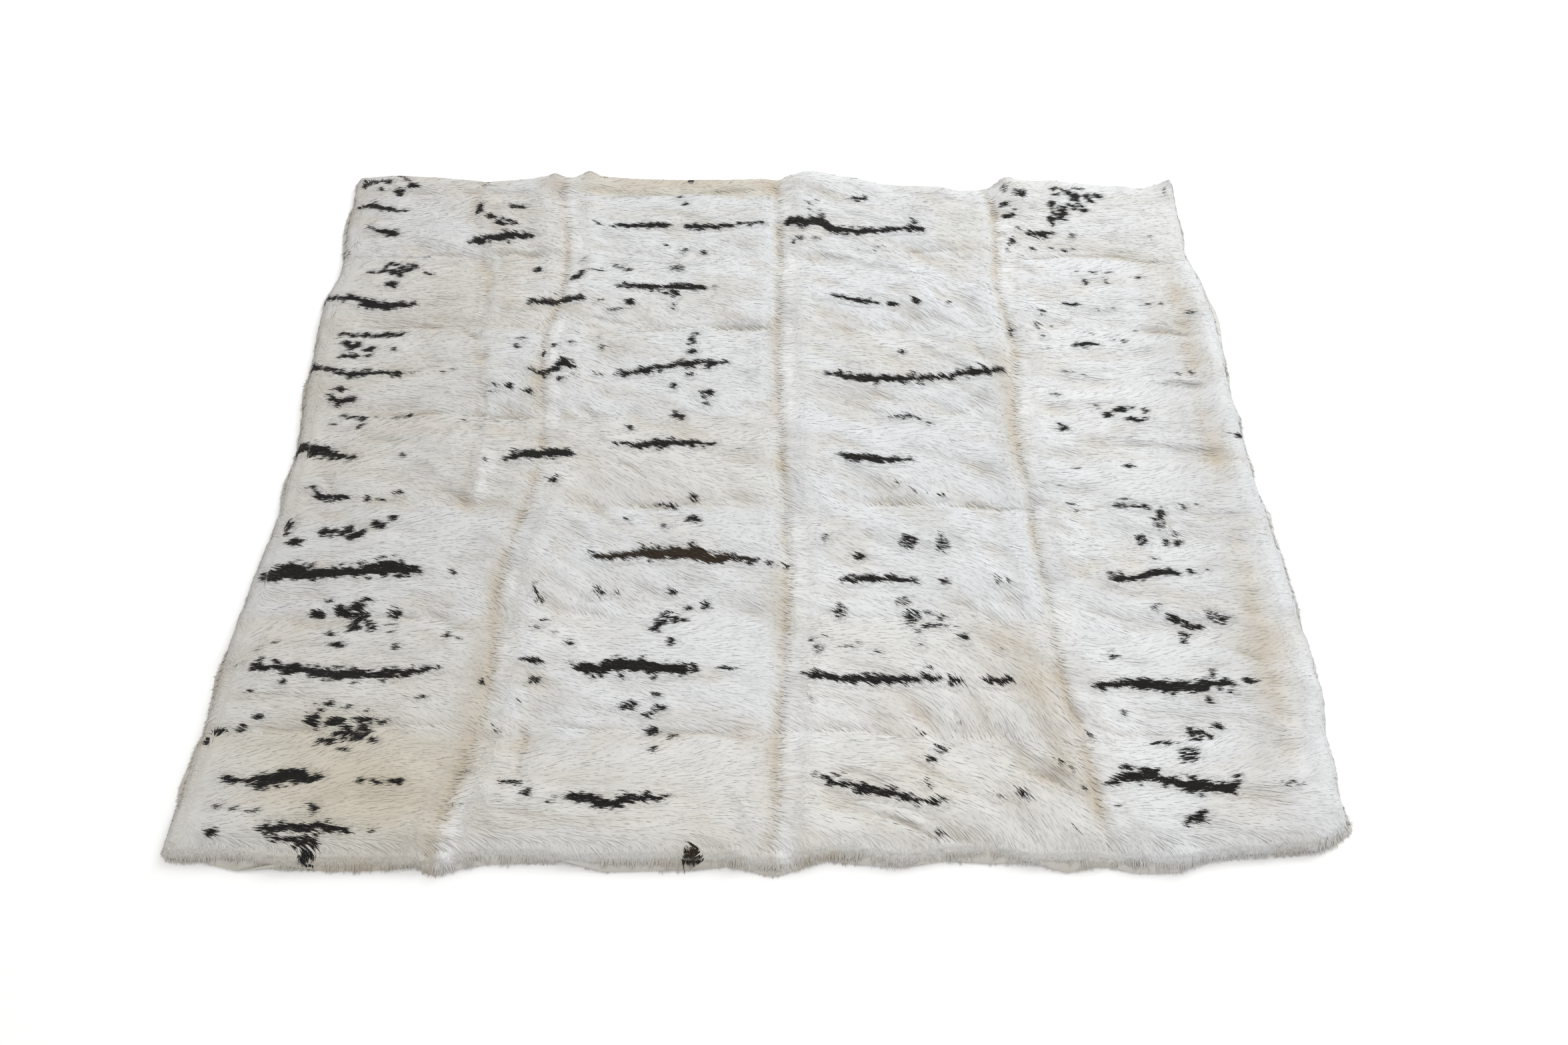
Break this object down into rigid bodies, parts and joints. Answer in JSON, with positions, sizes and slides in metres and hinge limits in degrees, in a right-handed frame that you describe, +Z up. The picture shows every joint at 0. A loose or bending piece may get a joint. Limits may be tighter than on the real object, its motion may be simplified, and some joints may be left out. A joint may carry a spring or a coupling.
{
  "type": "rabbit fur blanket",
  "caption": "Oblong patchwork fur blanket of white spotted rabbit pelts sewn edge to edge in columns, lying flat with its plush side up.",
  "frame": {"origin": "middle of the blanket's outline on the floor, under its leather side", "axes": "+X along the longer side to the blanket's right, +Y away from the near rim, +Z up out of the fur"},
  "size_m": [1.2272, 1.0916, 0.0289],
  "materials": {
    "white_fur": "dense soft winter fur, matt with a faint sheen, white with near-black natural markings",
    "ivory_fur": "dense soft winter fur, ivory white with near-black natural markings",
    "cream_fur": "dense soft winter fur, cream to pale beige with near-black natural markings",
    "leather_side": "soft suede-like flesh side of dressed rabbit pelts, natural pale tan, with overcast seams in off-white thread"
  },
  "bodies": {
    "root": {"pelt_a_1": "cream_fur", "pelt_a_2": "ivory_fur", "pelt_a_3": "white_fur", "pelt_a_outer_1": "ivory_fur", "pelt_a_outer_2": "ivory_fur", "pelt_a_outer_3": "ivory_fur", "pelt_a_outer_4": "white_fur", "pelt_a_outer_5": "ivory_fur", "pelt_a_inner_1": "ivory_fur", "pelt_a_inner_2": "white_fur", "pelt_a_inner_3": "ivory_fur", "pelt_a_inner_4": "ivory_fur", "pelt_a_inner_5": "white_fur", "pelt_b_1": "ivory_fur", "pelt_b_2": "white_fur", "pelt_b_3": "white_fur", "pelt_b_4": "ivory_fur", "pelt_b_5": "white_fur", "pelt_b_6": "white_fur", "pelt_b_7": "white_fur", "pelt_b_8": "cream_fur", "pelt_c_1": "ivory_fur", "pelt_c_2": "ivory_fur", "pelt_c_3": "white_fur", "pelt_c_4": "white_fur", "pelt_c_5": "white_fur", "pelt_c_6": "white_fur", "pelt_c_7": "white_fur", "pelt_c_8": "white_fur", "pelt_d_1": "white_fur", "pelt_d_2": "white_fur", "pelt_d_3": "white_fur", "pelt_d_4": "white_fur", "pelt_d_5": "white_fur", "pelt_d_6": "white_fur", "pelt_d_7": "white_fur", "pelt_d_8": "ivory_fur"}
  },
  "joints": []
}
